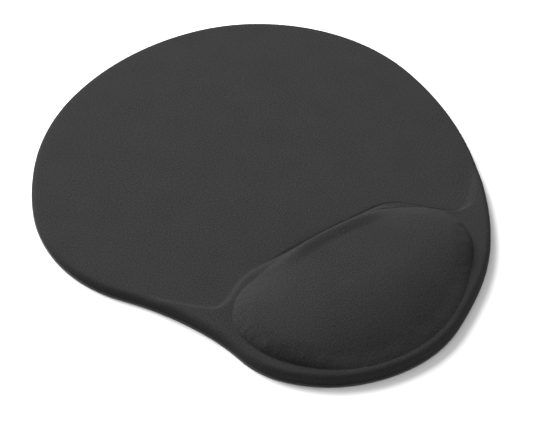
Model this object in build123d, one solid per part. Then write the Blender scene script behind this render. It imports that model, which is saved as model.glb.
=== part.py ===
from build123d import *
from math import sqrt
import os

os.makedirs("parts", exist_ok=True)

# A one-piece soft mouse pad with a raised gel wrist rest, lying on its grip base.
# Millimetres. The origin is the middle of the footprint, on the surface the pad lies on.
# +Y runs from the user towards the far edge, +X is the user's right and +Z is up.

# Overall sizes
pad_width = 205.0
pad_length = 236.0

# Heights above the table
mousing_height = 5.0        # flat area that the mouse runs on
platform_height = 6.2       # flat land that carries the wrist pillow
crown_height = 16.0         # highest point of the wrist pillow

# Layer thicknesses, from the table upwards
base_thickness = 1.2        # anti-slip grip sheet
adhesive_thickness = 0.15   # film that glues the foam to the grip sheet
pouch_film_thickness = 0.3  # wall of the pouch that holds the gel
bonding_film_thickness = 0.15
cover_thickness = 0.6       # knitted cover

# Foam left under the gel pouch
foam_under_pouch = 2.0

# Roundings of the outer, covered surface
edge_radius = 2.5           # top edge of the pad
pillow_edge_radius = 4.2    # shoulder of the wrist pillow

# Wrist pillow in plan: the land left around it
pillow_front_rim = 3.8      # from the front of the pillow to the user's edge of the pad
pillow_left_rim = 9.3       # from its left end to the narrowest point of the waist
pillow_right_rim = 33.7     # from its right end to the pad's right flank, abreast of the waist
pillow_depth = 72.0

# Wrist pillow crown: fall of the surface from the crown to the ends of its two axes
crown_fall_side = 3.6
crown_fall_front = 3.6

# Step between the mousing area and the platform. It runs straight behind the pillow, dips
# towards the user beside both ends of the pillow and climbs along the sides of the pad.
step_gap = 3.0              # land left behind the pillow
step_shoulder_left = 21.5   # from each end of the pillow in to the end of the straight
step_shoulder_right = 18.5
step_dip_left_in = 1.5      # corner of the left dip, in from the pillow's left end
step_dip_right_out = 6.5    # corner of the right dip, out from the pillow's right end
step_dip_left_depth = 10.2  # corner of each dip, towards the user from the straight
step_dip_right_depth = 27.7
step_climb_left = 132       # headings of the two climbs, in degrees from +X
step_climb_right = 42
step_radii = [7.0, 25.0, 18.0, 10.0]

# Outline of the pad, clockwise from its left side: across and along, as shares of half the
# width and half the length. The waist is on the user's left only.
outline_shape = [
    (-1.00, 0.18), (-0.78, 0.66), (0.07, 1.00), (0.60, 0.87), (1.00, 0.23),
    (0.86, -0.33), (0.37, -0.86), (-0.07, -1.00), (-0.59, -0.78), (-0.71, -0.44),
]

# Outline of the wrist pillow, the same way: nearly straight at the back, round at the front.
pillow_shape = [
    (-1.00, 0.34), (-0.84, 0.80), (-0.55, 0.975), (0.02, 1.00), (0.58, 0.965),
    (0.84, 0.74), (1.00, 0.30), (0.62, -0.60), (-0.06, -1.00), (-0.70, -0.63),
]

# Worked out from the sizes above
waist = outline_shape[-1]
flank = outline_shape[5]
pillow_left = waist[0] * pad_width / 2 + pillow_left_rim
pillow_right = flank[0] * pad_width / 2 - pillow_right_rim
pillow_width = pillow_right - pillow_left
pillow_centre_x = (pillow_left + pillow_right) / 2
pillow_centre_y = -pad_length / 2 + pillow_front_rim + pillow_depth / 2
pillow_back_y = pillow_centre_y + pillow_depth / 2
step_y = pillow_back_y + step_gap
film_inset = cover_thickness
foam_inset = film_inset + bonding_film_thickness
gel_inset = foam_inset + pouch_film_thickness
foam_floor = base_thickness + adhesive_thickness
pouch_floor = foam_floor + foam_under_pouch
gel_floor = pouch_floor + pouch_film_thickness

# Radii of the crown surface that give the two falls
crown_radius_side = (pillow_width / 2) ** 2 / (2 * crown_fall_side)
crown_radius_front = (pillow_depth / 2) ** 2 / (2 * crown_fall_front)

# Height that clears the whole part, and reach that clears it sideways
above_all = 2 * crown_height
beyond_all = 2 * (pad_width + pad_length)


def tangent_arcs(shape, half_width, half_depth, centre):
    """A closed chain of tangent arcs through the points of a shape.

    At a point on the edge of its box the chain runs straight along that edge. Elsewhere it
    runs as the circle through the point and its two neighbours does.
    """
    points = [Vector(centre[0] + x * half_width, centre[1] + y * half_depth) for x, y in shape]
    headings = []
    for i, (x, y) in enumerate(shape):
        before = points[i] - points[i - 1]
        after = points[(i + 1) % len(points)] - points[i]
        heading = before / before.length**2 + after / after.length**2
        across = 0 if abs(x) == 1 else heading.X
        along = 0 if abs(y) == 1 else heading.Y
        headings.append(Vector(across, along).normalized())
    arcs = []
    for i, end in enumerate(points):
        start = points[i - 1]
        chord = end - start
        lean = chord.dot(headings[i - 1] + headings[i])
        turn = 2 * (1 - headings[i - 1].dot(headings[i]))
        reach = chord.length**2 / (lean + sqrt(lean**2 + turn * chord.length**2))
        first_handle = start + headings[i - 1] * reach
        second_handle = end - headings[i] * reach
        joint = (first_handle + second_handle) / 2
        arcs.append(TangentArc(start, joint, tangent=headings[i - 1]))
        arcs.append(TangentArc(joint, end, tangent=second_handle - first_handle))
    return arcs


def inset_face(edges, inset):
    """The face inside a closed chain of edges, moved inwards by the inset."""
    face = make_face(edges)
    return offset(face, -inset) if inset > 0 else face


def pad_face(inset):
    """The footprint of the pad, moved inwards by the inset."""
    return inset_face(tangent_arcs(outline_shape, pad_width / 2, pad_length / 2, (0, 0)), inset)


def pillow_face(inset):
    """The footprint of the wrist pillow, moved inwards by the inset."""
    centre = (pillow_centre_x, pillow_centre_y)
    return inset_face(tangent_arcs(pillow_shape, pillow_width / 2, pillow_depth / 2, centre), inset)


def prism(face, low, high):
    """A straight-sided solid on a face, between two heights."""
    return extrude(Pos(0, 0, low) * face, high - low)


def round_top_edge(solid, radius):
    """The solid with the edges of its highest face rounded."""
    return fillet(solid.faces().sort_by(Axis.Z)[-1].edges(), radius)


def rounded_slab(inset, top):
    """The pad's footprint raised from the grip sheet to a height, with its top edge rounded."""
    slab = prism(pad_face(inset), base_thickness, top - inset)
    return round_top_edge(slab, edge_radius - inset)


def platform_zone(inset):
    """Everything on the user's side of the step."""
    left_dip = Vector(pillow_left + step_dip_left_in, step_y - step_dip_left_depth)
    left_shoulder = Vector(pillow_left + step_shoulder_left, step_y)
    right_shoulder = Vector(pillow_right - step_shoulder_right, step_y)
    right_dip = Vector(pillow_right + step_dip_right_out, step_y - step_dip_right_depth)
    left_end = left_dip + Vector(beyond_all, 0).rotate(Axis.Z, step_climb_left)
    right_end = right_dip + Vector(beyond_all, 0).rotate(Axis.Z, step_climb_right)
    corners = [left_end, left_dip, left_shoulder, right_shoulder, right_dip, right_end]
    step = FilletPolyline(*corners, radius=step_radii)
    front = Polyline(right_end, (right_end.X, -beyond_all), (left_end.X, -beyond_all), left_end)
    return prism(inset_face([step, front], inset), 0, above_all)


def land(inset):
    """The mousing area and the wrist platform, without the pillow."""
    zone = platform_zone(inset)
    mousing_area = rounded_slab(inset, mousing_height) - zone
    platform = rounded_slab(inset, platform_height) & zone
    return mousing_area + platform


def pillow_block(inset, floor):
    """The wrist pillow above a floor height, with a crowned top and a rounded shoulder."""
    block = prism(pillow_face(inset), floor, above_all)
    ring = Torus(crown_radius_side - crown_radius_front, crown_radius_front - inset)
    crown = Pos(pillow_centre_x, pillow_centre_y, crown_height - crown_radius_side) * Rot(90, 0, 0) * ring
    return round_top_edge(block & crown, pillow_edge_radius - inset)


def outer_form(inset):
    """The whole pad above the grip sheet, moved inwards by the inset."""
    return land(inset) + pillow_block(inset, base_thickness)


# Foam and glue, from the table upwards
grip_base = prism(pad_face(0), 0, base_thickness)
base_adhesive = prism(pad_face(foam_inset), base_thickness, foam_floor)
gel_well = prism(pillow_face(foam_inset), pouch_floor, above_all)
foam_body = land(foam_inset) - base_adhesive - gel_well

# Gel in its welded pouch, standing in the well of the foam
gel_pouch_lower_film = prism(pillow_face(foam_inset), pouch_floor, gel_floor)
gel_core = pillow_block(gel_inset, gel_floor)
gel_pouch_upper_film = pillow_block(foam_inset, gel_floor) - gel_core

# Knitted cover over its bonding film, closed at the grip sheet
outside = outer_form(0)
under_cover = outer_form(film_inset)
under_film = outer_form(foam_inset)
cover = outside - under_cover
cover_bonding_film = under_cover - under_film

nodes = {
    "grip_base": grip_base,
    "base_adhesive": base_adhesive,
    "foam_body": foam_body,
    "gel_pouch_lower_film": gel_pouch_lower_film,
    "gel_core": gel_core,
    "gel_pouch_upper_film": gel_pouch_upper_film,
    "cover_bonding_film": cover_bonding_film,
    "cover": cover,
}
for name, solid in nodes.items():
    export_step(solid, f"parts/{name}.step")
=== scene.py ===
import bpy
import math
import numpy as np
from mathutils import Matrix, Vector
from mathutils.bvhtree import BVHTree
from mathutils.geometry import delaunay_2d_cdt
from mathutils.kdtree import KDTree


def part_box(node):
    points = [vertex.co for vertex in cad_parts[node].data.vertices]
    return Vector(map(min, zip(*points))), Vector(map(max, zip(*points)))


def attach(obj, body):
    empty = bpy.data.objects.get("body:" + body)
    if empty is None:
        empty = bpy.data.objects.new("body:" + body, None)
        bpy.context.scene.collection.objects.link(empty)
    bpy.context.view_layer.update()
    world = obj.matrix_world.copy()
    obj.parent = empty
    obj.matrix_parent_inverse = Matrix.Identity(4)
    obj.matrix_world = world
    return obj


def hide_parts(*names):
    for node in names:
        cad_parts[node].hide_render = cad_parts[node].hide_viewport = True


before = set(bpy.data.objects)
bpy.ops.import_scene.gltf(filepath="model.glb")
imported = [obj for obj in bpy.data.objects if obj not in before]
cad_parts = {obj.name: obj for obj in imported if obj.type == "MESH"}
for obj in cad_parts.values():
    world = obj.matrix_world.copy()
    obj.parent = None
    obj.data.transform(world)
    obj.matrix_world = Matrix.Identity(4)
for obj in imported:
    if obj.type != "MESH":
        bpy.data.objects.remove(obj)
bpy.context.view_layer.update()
MM = 0.001


# ---------------------------------------------------------------------------------------
# The table, the light and the camera.
# A pale table, one large soft lamp beyond the far edge of the pad, and two weak ones,
# overhead and to the near right. The pad is seen from its front left, at about 45 degrees.

bpy.ops.object.select_all(action="DESELECT")
table_drop = 0.2 * MM         # so that the studs don't share the table's plane
bpy.ops.mesh.primitive_plane_add(size=8.0, location=(0, 0, -table_drop))
table = bpy.context.object
table.name = "table"
table_paint = bpy.data.materials.new("table_paint")
table_paint.use_nodes = True
table_shader = table_paint.node_tree.nodes["Principled BSDF"]
table_shader.inputs["Base Color"].default_value = (0.93, 0.93, 0.93, 1)
table_shader.inputs["Roughness"].default_value = 0.9
table_shader.inputs["Specular IOR Level"].default_value = 0.1
table.data.materials.append(table_paint)


def soft_lamp(name, place, size, power):
    """A square area lamp that points at the middle of the pad."""
    bpy.ops.object.light_add(type="AREA", location=place)
    lamp = bpy.context.object
    lamp.name = name
    lamp.rotation_euler = (-Vector(place)).to_track_quat("-Z", "Y").to_euler()
    lamp.data.size = size
    lamp.data.energy = power
    return lamp


soft_lamp("far_lamp", place=(-0.22, 1.6, 1.12), size=1.4, power=104)
soft_lamp("top_lamp", place=(-0.3, 0.2, 1.9), size=1.6, power=10)
soft_lamp("near_lamp", place=(1.5, -1.3, 0.9), size=1.2, power=16)

sky = bpy.data.worlds.new("sky")
bpy.context.scene.world = sky
sky.use_nodes = True
sky.node_tree.nodes["Background"].inputs["Color"].default_value = (1, 1, 1, 1)
sky.node_tree.nodes["Background"].inputs["Strength"].default_value = 0.20
bpy.context.scene.view_settings.view_transform = "Standard"

camera_aim = Vector((-9.3, -9.1, 0.0)) * MM
camera_heading = math.radians(-35.4)
camera_elevation = math.radians(45.4)
camera_distance = 727 * MM
picture_width = 533
focal_length = 1600           # in the same unit as the width of the picture
sensor_width = 36
camera_back = Vector((
    math.sin(camera_heading) * math.cos(camera_elevation),
    -math.cos(camera_heading) * math.cos(camera_elevation),
    math.sin(camera_elevation),
))
bpy.ops.object.camera_add(location=camera_aim + camera_back * camera_distance)
camera = bpy.context.object
camera.rotation_euler = (-camera_back).to_track_quat("-Z", "Y").to_euler()
camera.data.sensor_width = sensor_width
camera.data.lens = sensor_width * focal_length / picture_width
camera.data.clip_start = 0.05
bpy.context.scene.camera = camera


# ---------------------------------------------------------------------------------------
# Grip sheet.
# A soft polyurethane sheet, cut to the outline of the pad after everything above has been
# laid on it. Its underside is moulded with small flat studs that hold on the table, and
# its cut edge shows as a thin lip under the cover.

def smooth_loop(corners, spacing, closed=True):
    """A smooth curve through the corners, cut into equal steps."""
    steps_between_corners = 16
    count = len(corners)
    spans = range(count if closed else count - 1)
    before = np.array([corners[k] - corners[k - 1] for k in range(count)])
    after = np.roll(before, -1, axis=0)
    if not closed:
        before[0], after[-1] = after[0], before[-1]
    heading = before / np.sum(before**2, 1)[:, None] + after / np.sum(after**2, 1)[:, None]
    heading /= np.linalg.norm(heading, axis=1)[:, None]
    fine = []
    for k in spans:
        start, end = corners[k], corners[(k + 1) % count]
        reach = np.linalg.norm(end - start)
        for t in np.linspace(0, 1, steps_between_corners, endpoint=False):
            fine.append(
                (2 * t**3 - 3 * t**2 + 1) * start + (t**3 - 2 * t**2 + t) * reach * heading[k]
                + (3 * t**2 - 2 * t**3) * end
                + (t**3 - t**2) * reach * heading[(k + 1) % count]
            )
    fine.append(corners[0] if closed else corners[-1])
    fine = np.array(fine)
    run = np.concatenate([[0], np.cumsum(np.linalg.norm(np.diff(fine, axis=0), axis=1))])
    steps = max(3, round(run[-1] / spacing))
    at = np.linspace(0, run[-1], steps, endpoint=not closed)
    return np.column_stack([np.interp(at, run, fine[:, 0]), np.interp(at, run, fine[:, 1])])


def node_outline(node, spacing):
    """The footprint of a CAD node as a smooth closed curve, anticlockwise."""
    level_slack = 0.01 * MM
    same_corner = 0.5 * MM
    points = np.array([v.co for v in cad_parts[node].data.vertices])
    low = points[points[:, 2] < points[:, 2].min() + level_slack][:, :2]
    middle = (low.max(0) + low.min(0)) / 2
    order = np.argsort(np.arctan2(*(low - middle).T[::-1]))
    corners = []
    for point in low[order]:
        if not corners or np.linalg.norm(point - corners[-1]) > same_corner:
            corners.append(point)
    if np.linalg.norm(corners[0] - corners[-1]) < same_corner:
        corners.pop()
    return smooth_loop(np.array(corners), spacing)


def moved_in(loop, distance):
    """A closed anticlockwise curve moved inwards by a distance, or outwards if it is negative."""
    along = np.roll(loop, -1, axis=0) - np.roll(loop, 1, axis=0)
    inward = np.column_stack([-along[:, 1], along[:, 0]])
    return loop + distance * inward / np.linalg.norm(inward, axis=1)[:, None]


def nearest_of(points, targets):
    """For each point the number of the nearest target and the distance to it."""
    tree = KDTree(len(targets))
    for number, target in enumerate(targets):
        tree.insert((target[0], target[1], 0.0), number)
    tree.balance()
    found = [tree.find((x, y, 0.0))[1:] for x, y in points]
    number, distance = zip(*found)
    return np.array(number), np.array(distance)


def distance_inside(points, loop):
    """How far each point lies inside a closed anticlockwise curve; outside it is negative."""
    along = np.roll(loop, -1, axis=0) - np.roll(loop, 1, axis=0)
    inward = np.column_stack([-along[:, 1], along[:, 0]])
    inward /= np.linalg.norm(inward, axis=1)[:, None]
    near, _ = nearest_of(points, loop)
    return np.sum((points - loop[near]) * inward[near], axis=1)


def filled(boundary, hole, inner):
    """Triangles that fill a closed curve around an optional hole and use the inner points.
    Their corners number the boundary first, then the hole, then the inner points."""
    weld_distance = 1e-7
    loops = [boundary, hole] if len(hole) else [boundary]
    edges, first = [], 0
    for loop in loops:
        edges += [(first + k, first + (k + 1) % len(loop)) for k in range(len(loop))]
        first += len(loop)
    places = np.vstack(loops + [inner]) if len(inner) else np.vstack(loops)
    made = delaunay_2d_cdt([Vector(p) for p in places], edges, [], 0, weld_distance, True)
    number = np.array([min(origin) for origin in made[3]])
    faces = number[np.array(made[2])]
    middles = places[faces].mean(axis=1)
    kept = distance_inside(middles, boundary) > 0
    if len(hole):
        kept &= distance_inside(middles, hole) < 0
    return faces[kept]


def hexagonal_points(loop, pitch, margin):
    """Points of a hexagonal net that lie inside a closed curve by at least the margin."""
    low, high = loop.min(0), loop.max(0)
    row_height = pitch * math.sqrt(3) / 2
    rows = np.arange(low[1], high[1], row_height)
    columns = np.arange(low[0], high[0], pitch)
    net = np.array([(x + pitch / 2 * (k % 2), y) for k, y in enumerate(rows) for x in columns])
    return net[distance_inside(net, loop) > margin]


class Shell:
    """Corners and faces of one piece, gathered ring by ring."""

    def __init__(self):
        self.corners, self.faces, self.cut = [], [], []

    def ring(self, plan, heights, cut=None):
        """Adds corners at plan places and heights, and returns their numbers."""
        first = len(self.corners)
        heights = np.broadcast_to(heights, len(plan))
        self.corners += [(p[0], p[1], z) for p, z in zip(plan, heights)]
        self.cut += [tuple(p) for p in (plan if cut is None else cut)]
        return list(range(first, len(self.corners)))

    def band(self, one, other):
        """Joins two rings of the same length with a band of faces."""
        count = len(one)
        for k in range(count):
            following = (k + 1) % count
            self.faces.append((one[k], one[following], other[following], other[k]))

    def lid(self, ring, inner, heights, hole=()):
        """Closes a ring, around the ring of a hole if there is one, with a surface through
        inner points at their heights."""
        plan = np.array([corner[:2] for corner in self.corners])
        numbers = np.array(list(ring) + list(hole) + self.ring(inner, heights))
        faces = filled(plan[ring], plan[list(hole)] if len(hole) else (), inner)
        self.faces += [tuple(numbers[face]) for face in faces]

    def piece(self, name):
        """Makes the object, with its flat cut as a UV map in metres and faces outwards."""
        mesh = bpy.data.meshes.new(name)
        mesh.from_pydata(self.corners, [], self.faces)
        flat = mesh.uv_layers.new(name="cut")
        cut = np.array(self.cut)
        corner = np.empty(len(mesh.loops), int)
        mesh.loops.foreach_get("vertex_index", corner)
        flat.data.foreach_set("uv", cut[corner].ravel())
        made = bpy.data.objects.new(name, mesh)
        bpy.context.scene.collection.objects.link(made)
        bpy.ops.object.select_all(action="DESELECT")
        bpy.context.view_layer.objects.active = made
        made.select_set(True)
        bpy.ops.object.mode_set(mode="EDIT")
        bpy.ops.mesh.select_all(action="SELECT")
        bpy.ops.mesh.delete_loose()
        bpy.ops.mesh.select_all(action="SELECT")
        bpy.ops.mesh.normals_make_consistent(inside=False)
        bpy.ops.object.mode_set(mode="OBJECT")
        bpy.ops.object.shade_smooth()
        return made


def finish_piece(made, node):
    """Puts a piece on the pad in place of its plain CAD node."""
    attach(made, "root")
    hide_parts(node)


sheet_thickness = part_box("grip_base")[1].z
lip = 0.3 * MM              # how far the cut edge stands out beyond the cover
lip_rounding = 0.25 * MM
lip_corner = 0.07 * MM      # in from both faces at the middle of the rounding
stud_pitch = 3.2 * MM
stud_top_radius = 0.85 * MM
stud_foot_radius = 1.15 * MM
stud_height = 0.3 * MM
stud_gap = 0.8 * MM
plain_border = 3.5 * MM
border_slope = 0.4 * MM
outline_spacing = 0.9 * MM

pad_outline = node_outline("grip_base", outline_spacing)
sheet_outline = moved_in(pad_outline, -lip)

grip = Shell()
stud_rim = grip.ring(moved_in(sheet_outline, lip_rounding), 0.0)
rings = [stud_rim]
for inset, height in [
    (lip_corner, lip_corner),
    (0.0, lip_rounding),
    (0.0, sheet_thickness - lip_rounding),
    (lip_corner, sheet_thickness - lip_corner),
    (lip_rounding, sheet_thickness),
]:
    rings.append(grip.ring(moved_in(sheet_outline, inset), height))
for one, other in zip(rings, rings[1:]):
    grip.band(one, other)
top_points = hexagonal_points(sheet_outline, pitch=8 * MM, margin=3 * MM)
grip.lid(rings[-1], top_points, sheet_thickness)

border_ring = grip.ring(moved_in(sheet_outline, plain_border), 0.0)
grip.band(stud_rim, border_ring)
recess_ring = grip.ring(moved_in(sheet_outline, plain_border + border_slope), stud_height)
grip.band(border_ring, recess_ring)
stud_places = hexagonal_points(
    moved_in(sheet_outline, plain_border), stud_pitch, stud_foot_radius + stud_gap)
stud_sides = 6
under_plan = []
under_height = []
for radius, height in [(stud_top_radius, 0.0), (stud_foot_radius, stud_height)]:
    for turn in np.arange(stud_sides) * 2 * math.pi / stud_sides:
        under_plan.append(stud_places + radius * np.array([math.cos(turn), math.sin(turn)]))
        under_height.append(np.full(len(stud_places), height))
grip.lid(recess_ring, np.vstack(under_plan), np.concatenate(under_height))
grip_piece = grip.piece("studded_grip_sheet")
finish_piece(grip_piece, "grip_base")


def new_material(name, colour, roughness):
    """A Principled material with one colour and roughness, and its node tree."""
    material = bpy.data.materials.new(name)
    material.use_nodes = True
    shader = material.node_tree.nodes["Principled BSDF"]
    shader.inputs["Base Color"].default_value = (*colour, 1)
    shader.inputs["Roughness"].default_value = roughness
    return material, material.node_tree, shader


def speckle_group():
    """Cloudy and fine speckle for cast and foamed plastics: a mask and a bump normal."""
    group = bpy.data.node_groups.new("speckle", "ShaderNodeTree")
    face = group.interface
    for name, value in (("Cloud scale", 60.0), ("Grain scale", 2500.0), ("Grain depth", 0.00003)):
        socket = face.new_socket(name, in_out="INPUT", socket_type="NodeSocketFloat")
        socket.default_value = value
    face.new_socket("Mask", in_out="OUTPUT", socket_type="NodeSocketFloat")
    face.new_socket("Normal", in_out="OUTPUT", socket_type="NodeSocketVector")
    nodes, links = group.nodes, group.links
    entry, exit_ = nodes.new("NodeGroupInput"), nodes.new("NodeGroupOutput")
    place = nodes.new("ShaderNodeTexCoord")
    cloud, grain = nodes.new("ShaderNodeTexNoise"), nodes.new("ShaderNodeTexNoise")
    cloud.inputs["Detail"].default_value = 4
    mix = nodes.new("ShaderNodeMath")
    mix.operation = "MULTIPLY"
    bump = nodes.new("ShaderNodeBump")
    for noise, scale in ((cloud, "Cloud scale"), (grain, "Grain scale")):
        links.new(place.outputs["Object"], noise.inputs["Vector"])
        links.new(entry.outputs[scale], noise.inputs["Scale"])
    links.new(cloud.outputs["Fac"], mix.inputs[0])
    links.new(grain.outputs["Fac"], mix.inputs[1])
    links.new(grain.outputs["Fac"], bump.inputs["Height"])
    links.new(entry.outputs["Grain depth"], bump.inputs["Distance"])
    links.new(mix.outputs[0], exit_.inputs["Mask"])
    links.new(bump.outputs["Normal"], exit_.inputs["Normal"])
    return group


speckle = speckle_group()


def speckled(name, dark, light, roughness,
             cloud_scale=60.0, grain_scale=2500.0, grain_depth=0.00003):
    """A plastic or foam whose colour drifts between two tones, with a fine grain."""
    all_dark, all_light = 0.15, 0.40      # the mask's ends of the drift
    material, tree, shader = new_material(name, dark, roughness)
    spots = tree.nodes.new("ShaderNodeGroup")
    spots.node_tree = speckle
    spots.inputs["Cloud scale"].default_value = cloud_scale
    spots.inputs["Grain scale"].default_value = grain_scale
    spots.inputs["Grain depth"].default_value = grain_depth
    ramp = tree.nodes.new("ShaderNodeValToRGB")
    ramp.color_ramp.elements[0].position = all_dark
    ramp.color_ramp.elements[0].color = (*dark, 1)
    ramp.color_ramp.elements[1].position = all_light
    ramp.color_ramp.elements[1].color = (*light, 1)
    tree.links.new(spots.outputs["Mask"], ramp.inputs["Fac"])
    tree.links.new(ramp.outputs["Color"], shader.inputs["Base Color"])
    tree.links.new(spots.outputs["Normal"], shader.inputs["Normal"])
    return material, shader


grip_rubber, _ = speckled(
    "grip_rubber", dark=(0.020, 0.020, 0.021), light=(0.036, 0.036, 0.037), roughness=0.62)
grip_piece.data.materials.append(grip_rubber)


# ---------------------------------------------------------------------------------------
# Glue film.
# A thin clear film of pressure-sensitive glue between the grip sheet and the foam. The CAD
# solid already has its shape.

def coat(node, material):
    """Gives a CAD node's own mesh a material."""
    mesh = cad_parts[node].data
    mesh.materials.clear()
    mesh.materials.append(material)


glue, glue_shader = speckled(
    "glue_film", dark=(0.60, 0.57, 0.46), light=(0.72, 0.69, 0.58), roughness=0.35,
    grain_scale=900.0)
glue_shader.inputs["Coat Weight"].default_value = 0.3
coat("base_adhesive", glue)


# ---------------------------------------------------------------------------------------
# The form of the top.
# One mould presses cover, film, foam and gel, so one surface shapes them all: a flat mousing
# area, a step up to the wrist platform, and the pillow. Its front and ends are blown up as
# cloth, and the middle of its back is drawn as a steep wall with a brim.

cover_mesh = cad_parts["cover"].data
nearly_level = 0.9999         # the upward part of a level face's normal
flat_areas = {}
for face in cover_mesh.polygons:
    if face.normal.z > nearly_level:
        level = round(face.center.z / MM, 2)
        flat_areas[level] = flat_areas.get(level, 0) + face.area
largest_levels = sorted(flat_areas, key=flat_areas.get)[:-3:-1]
mousing_top, platform_top = [level * MM for level in largest_levels]
crown_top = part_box("cover")[1].z
layers_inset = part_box("base_adhesive")[0].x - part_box("cover")[0].x
pillow_spacing = 0.8 * MM
pillow_outline = moved_in(node_outline("gel_pouch_lower_film", pillow_spacing), -layers_inset)


def blend(value, low, high):
    """A smooth change from 0 at the low value to 1 at the high one."""
    t = np.clip((value - low) / (high - low), 0, 1)
    return t * t * (3 - 2 * t)


def step_line(spacing):
    """The step between the mousing area and the platform in plan, left to right, run on past
    the edge of the pad at both ends."""
    nearly_upright = 0.02
    level_slack = 0.01 * MM
    corner_gap = 1.2 * MM
    run_on = 20 * MM
    tops = []
    for face in cover_mesh.polygons:
        heights = [cover_mesh.vertices[k].co.z for k in face.vertices]
        above_mousing = min(heights) > mousing_top - level_slack
        below_platform = max(heights) < platform_top + level_slack
        if abs(face.normal.z) < nearly_upright and above_mousing and below_platform:
            tops += [tuple(cover_mesh.vertices[k].co.xy) for k in face.vertices]
    tops = np.array(sorted(set((round(x, 6), round(y, 6)) for x, y in tops)))
    corners = [tops[0]]
    for point in tops:
        if np.linalg.norm(point - corners[-1]) > corner_gap:
            corners.append(point)
    first, last = corners[0] - corners[1], corners[-1] - corners[-2]
    corners = [corners[0] + first * run_on / np.linalg.norm(first)] + corners
    corners.append(corners[-1] + last * run_on / np.linalg.norm(last))
    return smooth_loop(np.array(corners), spacing, closed=False)


step_spacing = 0.7 * MM
step = step_line(step_spacing)


def past_step(points):
    """How far each point lies on the user's side of the step, beyond it negative, and where
    along the width of the pad its nearest place on the step is."""
    along = np.gradient(step, axis=0)
    near, distance = nearest_of(points, step)
    offset = points - step[near]
    side = offset[:, 0] * along[near, 1] - offset[:, 1] * along[near, 0]
    return np.sign(side) * distance, step[near, 0]


def inflated_pillow():
    """The skin of the gel pouch, blown up as cloth that is held along the pillow's edge, and
    then scaled to a height of 1."""
    start_height = 0.4 * MM
    last_frame = 24
    smoothing_passes = 40
    shell = Shell()
    rim = shell.ring(pillow_outline, 0.0)
    inner = np.vstack([
        moved_in(pillow_outline, 1.0 * MM),
        moved_in(pillow_outline, 2.2 * MM)[::2],
        hexagonal_points(pillow_outline, pitch=2.4 * MM, margin=3.8 * MM),
    ])
    shell.lid(rim, inner, start_height)
    skin = shell.piece("pillow_skin")
    held = skin.vertex_groups.new(name="held")
    held.add(rim, 1.0, "REPLACE")
    cloth = skin.modifiers.new("inflate", "CLOTH")
    cloth.settings.quality = 8
    cloth.settings.mass = 0.15
    cloth.settings.tension_stiffness = 5
    cloth.settings.compression_stiffness = 5
    cloth.settings.shear_stiffness = 3
    cloth.settings.bending_stiffness = 0.1
    cloth.settings.shrink_min = 0.1
    cloth.settings.use_pressure = True
    cloth.settings.uniform_pressure_force = 12500
    cloth.settings.vertex_group_mass = "held"
    cloth.settings.effector_weights.gravity = 0
    cloth.collision_settings.use_collision = False
    cloth.point_cache.frame_start = 1
    cloth.point_cache.frame_end = last_frame
    for number in range(1, last_frame + 1):
        bpy.context.scene.frame_set(number)
    bpy.ops.object.select_all(action="DESELECT")
    bpy.context.view_layer.objects.active = skin
    skin.select_set(True)
    bpy.ops.object.modifier_apply(modifier=cloth.name)
    bpy.context.scene.frame_set(1)
    at_rest = np.array(shell.corners)
    mesh = skin.data
    blown = np.array([v.co for v in mesh.vertices])
    ends = np.array([edge.vertices for edge in mesh.edges])
    loose = np.ones(len(blown), bool)
    loose[rim] = False
    count = np.bincount(ends.ravel(), minlength=len(blown))
    height = np.abs(blown[:, 2])
    for _ in range(smoothing_passes):
        total = np.bincount(ends[:, 0], height[ends[:, 1]], len(blown))
        total += np.bincount(ends[:, 1], height[ends[:, 0]], len(blown))
        height[loose] = 0.5 * height[loose] + 0.5 * total[loose] / count[loose]
    flat = np.column_stack([at_rest[:, :2], height / height.max()])
    for vertex, place in zip(mesh.vertices, flat):
        vertex.co = place
    smooth = skin.modifiers.new("smooth", "SUBSURF")
    smooth.levels = 2
    smooth.boundary_smooth = "ALL"
    bpy.ops.object.modifier_apply(modifier=smooth.name)
    surface = BVHTree.FromPolygons(
        [v.co.copy() for v in mesh.vertices], [tuple(f.vertices) for f in mesh.polygons])
    bpy.data.objects.remove(skin)
    return surface


pillow_skin = inflated_pillow()
pillow_middle = (pillow_outline[:, 0].min() + pillow_outline[:, 0].max()) / 2
fullness_middle = 0.85        # powers of the height; a smaller one gives fuller sides
fullness_ends = 0.6
ends_from = 26 * MM           # the ends begin and are complete this far from the middle
ends_by = 52 * MM
end_wall = 0.36               # how much steeper the ends rise
end_wall_top = 0.45           # and the share of the height by which they have done so


def pillow_share(points):
    """The height of the pillow at each point, from 0 on its edge to 1 on its crown."""
    share = np.zeros(len(points))
    for k, (x, y) in enumerate(points):
        hit = pillow_skin.ray_cast(Vector((x, y, 2.0)), Vector((0, 0, -1)))[0]
        share[k] = hit.z if hit else 0.0
    ends = blend(np.abs(points[:, 0] - pillow_middle), ends_from, ends_by)
    share = np.clip(share, 0, 1) ** (fullness_middle + (fullness_ends - fullness_middle) * ends)
    return share + end_wall * ends * (1 - share) * blend(share, 0.0, end_wall_top)


def span(value, rise, fall):
    """1 in the middle of a span, and 0 before its rise and after its fall."""
    return blend(value, *rise) * (1 - blend(value, *fall))


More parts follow.
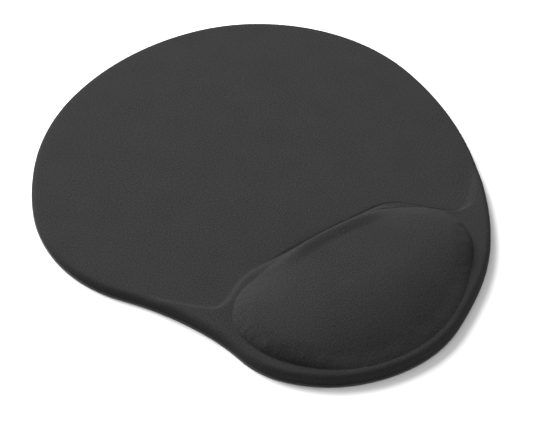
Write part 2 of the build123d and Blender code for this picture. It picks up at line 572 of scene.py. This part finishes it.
ramp_middle = 1.4 * MM        # widths of the step
ramp_left = 2.4 * MM
ramp_right = 4.2 * MM
left_dip = (-42 * MM, -24 * MM)
right_dip = (58 * MM, 70 * MM)
before_step, after_step = 0.7, 0.5    # shares of its width on either side of its line
seam_rise, seam_fall = (-32 * MM, -18 * MM), (52 * MM, 62 * MM)
groove_depth = 0.6 * MM
groove_width = 0.6 * MM
groove_place = -0.6 * MM
ridge_height = 0.35 * MM
ridge_width = 1.0 * MM
ridge_place = 1.1 * MM
pillow_margin = 0.5 * MM
crown_line = -74 * MM         # the crown runs across the pad here
step_back = step[len(step) // 2, 1]
wall_foot = -0.2 * MM
back_wall = 8.0 * MM          # the middle of the pillow rises from the step over this width
back_fall = 0.16              # and the roof behind the crown falls by this share
back_rise, back_end = (-42 * MM, -12 * MM), (14 * MM, 44 * MM)
brim_height = 1.1 * MM
brim_fade = 6 * MM
brim_rise, brim_end = (-34 * MM, -16 * MM), (14 * MM, 32 * MM)


def top_height(points):
    """The height of the outside of the pad above each point in plan."""
    past, along = past_step(points)
    inside = distance_inside(points, pillow_outline)
    ramp = ramp_middle + (ramp_left - ramp_middle) * (1 - blend(along, *left_dip))
    ramp += (ramp_right - ramp_middle) * blend(along, *right_dip)
    rise = blend(past, -before_step * ramp, after_step * ramp)
    height = mousing_top + (platform_top - mousing_top) * rise
    seam = span(along, seam_rise, seam_fall)
    height -= groove_depth * seam * np.exp(-((past - groove_place) / groove_width) ** 2)
    height += ridge_height * seam * np.exp(-((past - ridge_place) / ridge_width) ** 2)
    near = inside > -pillow_margin
    dome = np.zeros(len(points))
    dome[near] = pillow_share(points[near])
    middle = span(points[:, 0], back_rise, back_end)
    behind = np.clip((points[:, 1] - crown_line) / (step_back - crown_line), 0, 1)
    roof = np.ones(len(points))
    on_crown_line = np.column_stack([points[near, 0], np.full(np.sum(near), crown_line)])
    roof[near] = pillow_share(on_crown_line)
    roof *= 1 - back_fall * behind**2
    wall = blend(past, wall_foot, back_wall)
    behind_crown = points[:, 1] > crown_line
    share = np.where(behind_crown, dome + middle * (wall * roof - dome), dome)
    height += (crown_top - platform_top) * share
    brim = span(points[:, 0], brim_rise, brim_end)
    height += brim_height * brim * wall * (1 - blend(past, back_wall, back_wall + brim_fade))
    return height


# ---------------------------------------------------------------------------------------
# Foam body.
# Fine dark polyurethane foam. It is hot pressed: thin under the mouse, thicker under the
# wrist, with a round edge and a well that takes the gel pouch. It stops short of the side
# wall by the thickness of the cover and its film.

edge_radius = 2.5 * MM
foam_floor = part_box("foam_body")[0].z
well_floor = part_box("gel_pouch_lower_film")[0].z
foam_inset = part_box("foam_body")[0].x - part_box("cover")[0].x


def height_below(points, inset):
    """The height of a layer that lies an inset below the outside, measured square to it."""
    reach = 0.15 * MM
    steepest = 1.6
    east = top_height(points + [reach, 0]) - top_height(points - [reach, 0])
    north = top_height(points + [0, reach]) - top_height(points - [0, reach])
    slope = np.minimum(np.hypot(east, north) / (2 * reach), steepest)
    return top_height(points) - inset * np.sqrt(1 + slope**2)


def clear_of(points, others, distance):
    """The points that lie at least a distance away from all the others."""
    return points[nearest_of(points, others)[1] > distance]


def moulded_net(boundary, fine, coarse):
    """Points inside a boundary that follow the step and the pillow's edge, and are fine on
    the platform and coarse on the mousing area."""
    around_pillow = (-1.2, -0.7, -0.35, -0.1, 0.15, 0.45, 0.85, 1.4)
    across_step = (-1.3, -0.8, -0.5, -0.2, 0.1, 0.4, 0.7, 1.1, 1.6)
    row_gap = 0.3 * MM
    boundary_gap = 0.35 * MM
    fine_beyond_step = 3 * MM
    net_gap = 0.6                 # share of the pitch that stays free beside a row
    pillow_rows = np.vstack([moved_in(pillow_outline, d * MM) for d in around_pillow])
    along = np.gradient(step, axis=0)
    side = np.column_stack([along[:, 1], -along[:, 0]]) / np.linalg.norm(along, axis=1)[:, None]
    step_rows = np.vstack([step + side * d * MM for d in across_step])
    step_rows = clear_of(step_rows, pillow_rows, row_gap)
    lines = np.vstack([pillow_rows, step_rows])
    lines = lines[distance_inside(lines, boundary) > boundary_gap]
    fine_net = hexagonal_points(boundary, fine, 0.5 * fine)
    fine_net = fine_net[past_step(fine_net)[0] > -fine_beyond_step]
    coarse_net = hexagonal_points(boundary, coarse, 0.5 * coarse)
    coarse_net = coarse_net[past_step(coarse_net)[0] < -fine_beyond_step - net_gap * coarse]
    net = clear_of(np.vstack([fine_net, coarse_net]), lines, net_gap * fine)
    return np.vstack([lines, net])


def side_wall(shell, brow_ring, brow_height, inset, foot_height, foot_cut):
    """The round edge and the side wall below the top of the pad, down to a foot ring."""
    turns = np.radians(np.arange(15, 91, 15))
    wall_rows = (0.35, 0.7, 1.0)
    radius = edge_radius - inset
    previous = brow_ring
    for angle in turns:
        plan = moved_in(pad_outline, inset + radius * (1 - math.sin(angle)))
        cut = moved_in(pad_outline, edge_radius - radius * angle)
        ring = shell.ring(plan, brow_height - radius * (1 - math.cos(angle)), cut)
        shell.band(previous, ring)
        previous = ring
    shoulder = brow_height - radius
    for share in wall_rows:
        cut = moved_in(pad_outline, edge_radius - radius * math.pi / 2 - foot_cut * share)
        height = shoulder + (foot_height - shoulder) * share
        ring = shell.ring(moved_in(pad_outline, inset), height, cut)
        shell.band(previous, ring)
        previous = ring
    return previous


brow = moved_in(pad_outline, edge_radius)
brow_height = top_height(brow)

foam = Shell()
foam_brow = foam.ring(brow, brow_height - foam_inset)
foam_foot = side_wall(foam, foam_brow, brow_height - foam_inset, foam_inset, foam_floor, 0.0)
underside_net = hexagonal_points(moved_in(pad_outline, foam_inset), pitch=6 * MM, margin=3 * MM)
foam.lid(foam_foot, underside_net, foam_floor)
rim_land = 0.4 * MM           # the rim of the well is as high as the land this far outside it
well_rim = moved_in(pillow_outline, foam_inset)
rim_height = height_below(moved_in(pillow_outline, -rim_land), foam_inset)
land_net = moulded_net(brow, fine=1.3 * MM, coarse=2.6 * MM)
land_net = land_net[distance_inside(land_net, pillow_outline) < foam_inset - rim_land]
rim_ring = foam.ring(well_rim, rim_height)
foam.lid(foam_brow, land_net, height_below(land_net, foam_inset), rim_ring)
well_ring = foam.ring(well_rim, well_floor)
foam.band(rim_ring, well_ring)
foam.lid(well_ring, hexagonal_points(well_rim, pitch=4 * MM, margin=2 * MM), well_floor)
foam_piece = foam.piece("pressed_foam")
finish_piece(foam_piece, "foam_body")

foam_paint, _ = speckled(
    "charcoal_foam", dark=(0.060, 0.060, 0.063), light=(0.125, 0.125, 0.130), roughness=0.95,
    cloud_scale=140.0, grain_scale=1600.0, grain_depth=0.00012)
foam_piece.data.materials.append(foam_paint)


# ---------------------------------------------------------------------------------------
# Lower film of the gel pouch.
# Clear satin urethane film, flat on the floor of the well. The CAD solid has its shape.

pouch_film, pouch_shader = speckled(
    "pouch_film", dark=(0.66, 0.66, 0.64), light=(0.74, 0.74, 0.72), roughness=0.3,
    cloud_scale=30.0, grain_scale=700.0)
pouch_shader.inputs["Transmission Weight"].default_value = 0.5
pouch_shader.inputs["Coat Weight"].default_value = 0.2
coat("gel_pouch_lower_film", pouch_film)


# ---------------------------------------------------------------------------------------
# Gel core.
# Clear, soft urethane gel, cast into the pouch. Its crown follows the form of the top, less
# the cover and the films over it.

gel_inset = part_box("gel_core")[0].x - pillow_outline[:, 0].min()
gel_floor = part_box("gel_core")[0].z
gel_rim = moved_in(pillow_outline, gel_inset)


def pillow_layer(shell, inset, floor):
    """The crown and the wall of one layer of the pillow, and the ring at its foot."""
    rows_inside = (0.4, 0.9, 1.6)
    rim = moved_in(pillow_outline, inset)
    crown_rim = shell.ring(rim, height_below(rim, inset))
    rows = np.vstack([moved_in(pillow_outline, inset + d * MM) for d in rows_inside])
    inner = hexagonal_points(pillow_outline, pitch=1.5 * MM, margin=inset + 2.4 * MM)
    net = np.vstack([rows, inner])
    shell.lid(crown_rim, net, height_below(net, inset))
    foot = shell.ring(rim, floor)
    shell.band(crown_rim, foot)
    return foot


gel = Shell()
gel_foot = pillow_layer(gel, gel_inset, gel_floor)
gel.lid(gel_foot, hexagonal_points(gel_rim, pitch=4 * MM, margin=2 * MM), gel_floor)
gel_piece = gel.piece("gel_filling")
finish_piece(gel_piece, "gel_core")

clear_gel, gel_shader = speckled(
    "clear_gel", dark=(0.50, 0.58, 0.64), light=(0.60, 0.67, 0.72), roughness=0.12,
    cloud_scale=40.0, grain_scale=400.0)
gel_shader.inputs["Transmission Weight"].default_value = 0.7
gel_shader.inputs["IOR"].default_value = 1.45
gel_piece.data.materials.append(clear_gel)


# ---------------------------------------------------------------------------------------
# Upper film of the gel pouch.
# The same clear film, drawn over the gel and welded to the lower film around its edge.

film_clearance = 0.02 * MM
upper_film = Shell()
outer_foot = pillow_layer(upper_film, foam_inset + film_clearance, gel_floor)
inner_foot = pillow_layer(upper_film, gel_inset - film_clearance, gel_floor)
upper_film.band(outer_foot, inner_foot)
film_piece = upper_film.piece("pouch_crown_film")
finish_piece(film_piece, "gel_pouch_upper_film")
film_piece.data.materials.append(pouch_film)


# ---------------------------------------------------------------------------------------
# Bonding film.
# A thin web of hot-melt glue, laminated to the back of the jersey before it is cut. It bonds
# the cover to the foam and the gel pouch, and stops at the grip sheet as the cover does.

cover_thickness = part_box("cover_bonding_film")[0].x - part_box("cover")[0].x
film_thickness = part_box("base_adhesive")[0].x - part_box("cover_bonding_film")[0].x
bond_clearance = 0.02 * MM    # left free on each side of the bonding film
foot_clearance = 0.02 * MM
foot_height = sheet_thickness + foot_clearance
foot_cut = 2.5 * MM           # the side wall below the round edge where it is tallest


def drawn_skin(name, inset, fine, coarse):
    """The open skin of the pad at an inset from its outside, from the grip sheet up."""
    shell = Shell()
    brow_ring = shell.ring(brow, brow_height - inset)
    side_wall(shell, brow_ring, brow_height - inset, inset, foot_height, foot_cut)
    net = moulded_net(brow, fine, coarse)
    shell.lid(brow_ring, net, height_below(net, inset))
    return shell.piece(name)


def walled(made, thickness):
    """Gives an open skin its thickness, inwards."""
    bpy.ops.object.select_all(action="DESELECT")
    bpy.context.view_layer.objects.active = made
    made.select_set(True)
    wall = made.modifiers.new("wall", "SOLIDIFY")
    wall.thickness = thickness
    wall.offset = -1
    wall.use_rim = True
    bpy.ops.object.modifier_apply(modifier=wall.name)


bond_piece = drawn_skin(
    "hot_melt_film", cover_thickness + bond_clearance, fine=1.4 * MM, coarse=2.8 * MM)
walled(bond_piece, film_thickness - 2 * bond_clearance)
finish_piece(bond_piece, "cover_bonding_film")

web, _ = speckled(
    "hot_melt_web", dark=(0.52, 0.52, 0.50), light=(0.66, 0.66, 0.64), roughness=0.45,
    cloud_scale=220.0, grain_scale=1200.0)
bond_piece.data.materials.append(web)


# ---------------------------------------------------------------------------------------
# Cover.
# One piece of fine knitted jersey with elastane, drawn over the mould and down the side
# wall, and trimmed at the grip sheet. Its right side faces outwards.

cover_piece = drawn_skin("jersey_cover", 0.0, fine=0.9 * MM, coarse=1.9 * MM)
walled(cover_piece, cover_thickness)
finish_piece(cover_piece, "cover")


def knit_group():
    """Plain jersey seen from its right side, laid out on the cut: rows of V stitches and a
    fine fuzz. Gives a tone and a bump normal."""
    group = bpy.data.node_groups.new("jersey_knit", "ShaderNodeTree")
    face = group.interface
    for name, value in (("Pitch", 0.00055), ("Stitch depth", 0.00004), ("Fuzz depth", 0.00006)):
        socket = face.new_socket(name, in_out="INPUT", socket_type="NodeSocketFloat")
        socket.default_value = value
    face.new_socket("Tone", in_out="OUTPUT", socket_type="NodeSocketFloat")
    face.new_socket("Normal", in_out="OUTPUT", socket_type="NodeSocketVector")
    legs_per_stitch = 2
    courses_per_wale = 1.25
    wale_depth, course_depth = 0.25, 0.35
    fuzz_tone, stitch_tone, drift_tone = 2.2, 0.12, 0.25
    middle_tone = 0.44
    nodes, links = group.nodes, group.links
    entry, exit_ = nodes.new("NodeGroupInput"), nodes.new("NodeGroupOutput")
    cut = nodes.new("ShaderNodeUVMap")
    cut.uv_map = "cut"

    def maths(operation, one, two=None, three=None):
        node = nodes.new("ShaderNodeMath")
        node.operation = operation
        for place, value in enumerate((one, two, three)):
            if isinstance(value, (int, float)):
                node.inputs[place].default_value = value
            elif value is not None:
                links.new(value, node.inputs[place])
        return node.outputs[0]

    split = nodes.new("ShaderNodeSeparateXYZ")
    links.new(cut.outputs["UV"], split.inputs[0])
    column = maths("DIVIDE", split.outputs["X"], entry.outputs["Pitch"])
    row = maths("DIVIDE", split.outputs["Y"], entry.outputs["Pitch"])
    leg = maths("PINGPONG", column, 0.5)
    course = maths("ADD", maths("MULTIPLY", row, courses_per_wale), leg)
    wale_round = maths("SINE", maths("MULTIPLY", column, 2 * math.pi * legs_per_stitch))
    course_round = maths("SINE", maths("MULTIPLY", course, 2 * math.pi))
    wales = maths("MULTIPLY_ADD", wale_round, wale_depth, 0.5)
    stitch = maths("MULTIPLY_ADD", course_round, course_depth, wales)
    fuzz, drift = nodes.new("ShaderNodeTexNoise"), nodes.new("ShaderNodeTexNoise")
    for noise, scale, detail in ((fuzz, 1600.0, 2.0), (drift, 55.0, 3.0)):
        links.new(cut.outputs["UV"], noise.inputs["Vector"])
        noise.inputs["Scale"].default_value = scale
        noise.inputs["Detail"].default_value = detail
    grain = maths("SUBTRACT", fuzz.outputs["Fac"], 0.5)
    tone = maths("MULTIPLY_ADD", stitch, stitch_tone, middle_tone)
    tone = maths("MULTIPLY_ADD", grain, fuzz_tone, tone)
    cloud = maths("SUBTRACT", drift.outputs["Fac"], 0.5)
    tone = maths("MULTIPLY_ADD", cloud, drift_tone, tone)
    links.new(tone, exit_.inputs["Tone"])
    knit, nap = nodes.new("ShaderNodeBump"), nodes.new("ShaderNodeBump")
    links.new(stitch, knit.inputs["Height"])
    links.new(entry.outputs["Stitch depth"], knit.inputs["Distance"])
    links.new(fuzz.outputs["Fac"], nap.inputs["Height"])
    links.new(entry.outputs["Fuzz depth"], nap.inputs["Distance"])
    links.new(knit.outputs["Normal"], nap.inputs["Normal"])
    links.new(nap.outputs["Normal"], exit_.inputs["Normal"])
    return group


jersey_dark = (0.0140, 0.0140, 0.0142, 1)
jersey_light = (0.0352, 0.0352, 0.0356, 1)
jersey, jersey_tree, jersey_shader = new_material(
    "jersey", colour=(0.034, 0.034, 0.035), roughness=0.88)
jersey_shader.inputs["Specular IOR Level"].default_value = 0.02
jersey_shader.inputs["Sheen Weight"].default_value = 0.012
jersey_shader.inputs["Sheen Roughness"].default_value = 0.5
knit = jersey_tree.nodes.new("ShaderNodeGroup")
knit.node_tree = knit_group()
tones = jersey_tree.nodes.new("ShaderNodeValToRGB")
tones.color_ramp.elements[0].position = 0.0
tones.color_ramp.elements[0].color = jersey_dark
tones.color_ramp.elements[1].position = 1.0
tones.color_ramp.elements[1].color = jersey_light
jersey_tree.links.new(knit.outputs["Tone"], tones.inputs["Fac"])
jersey_tree.links.new(tones.outputs["Color"], jersey_shader.inputs["Base Color"])
jersey_tree.links.new(knit.outputs["Normal"], jersey_shader.inputs["Normal"])
cover_piece.data.materials.append(jersey)
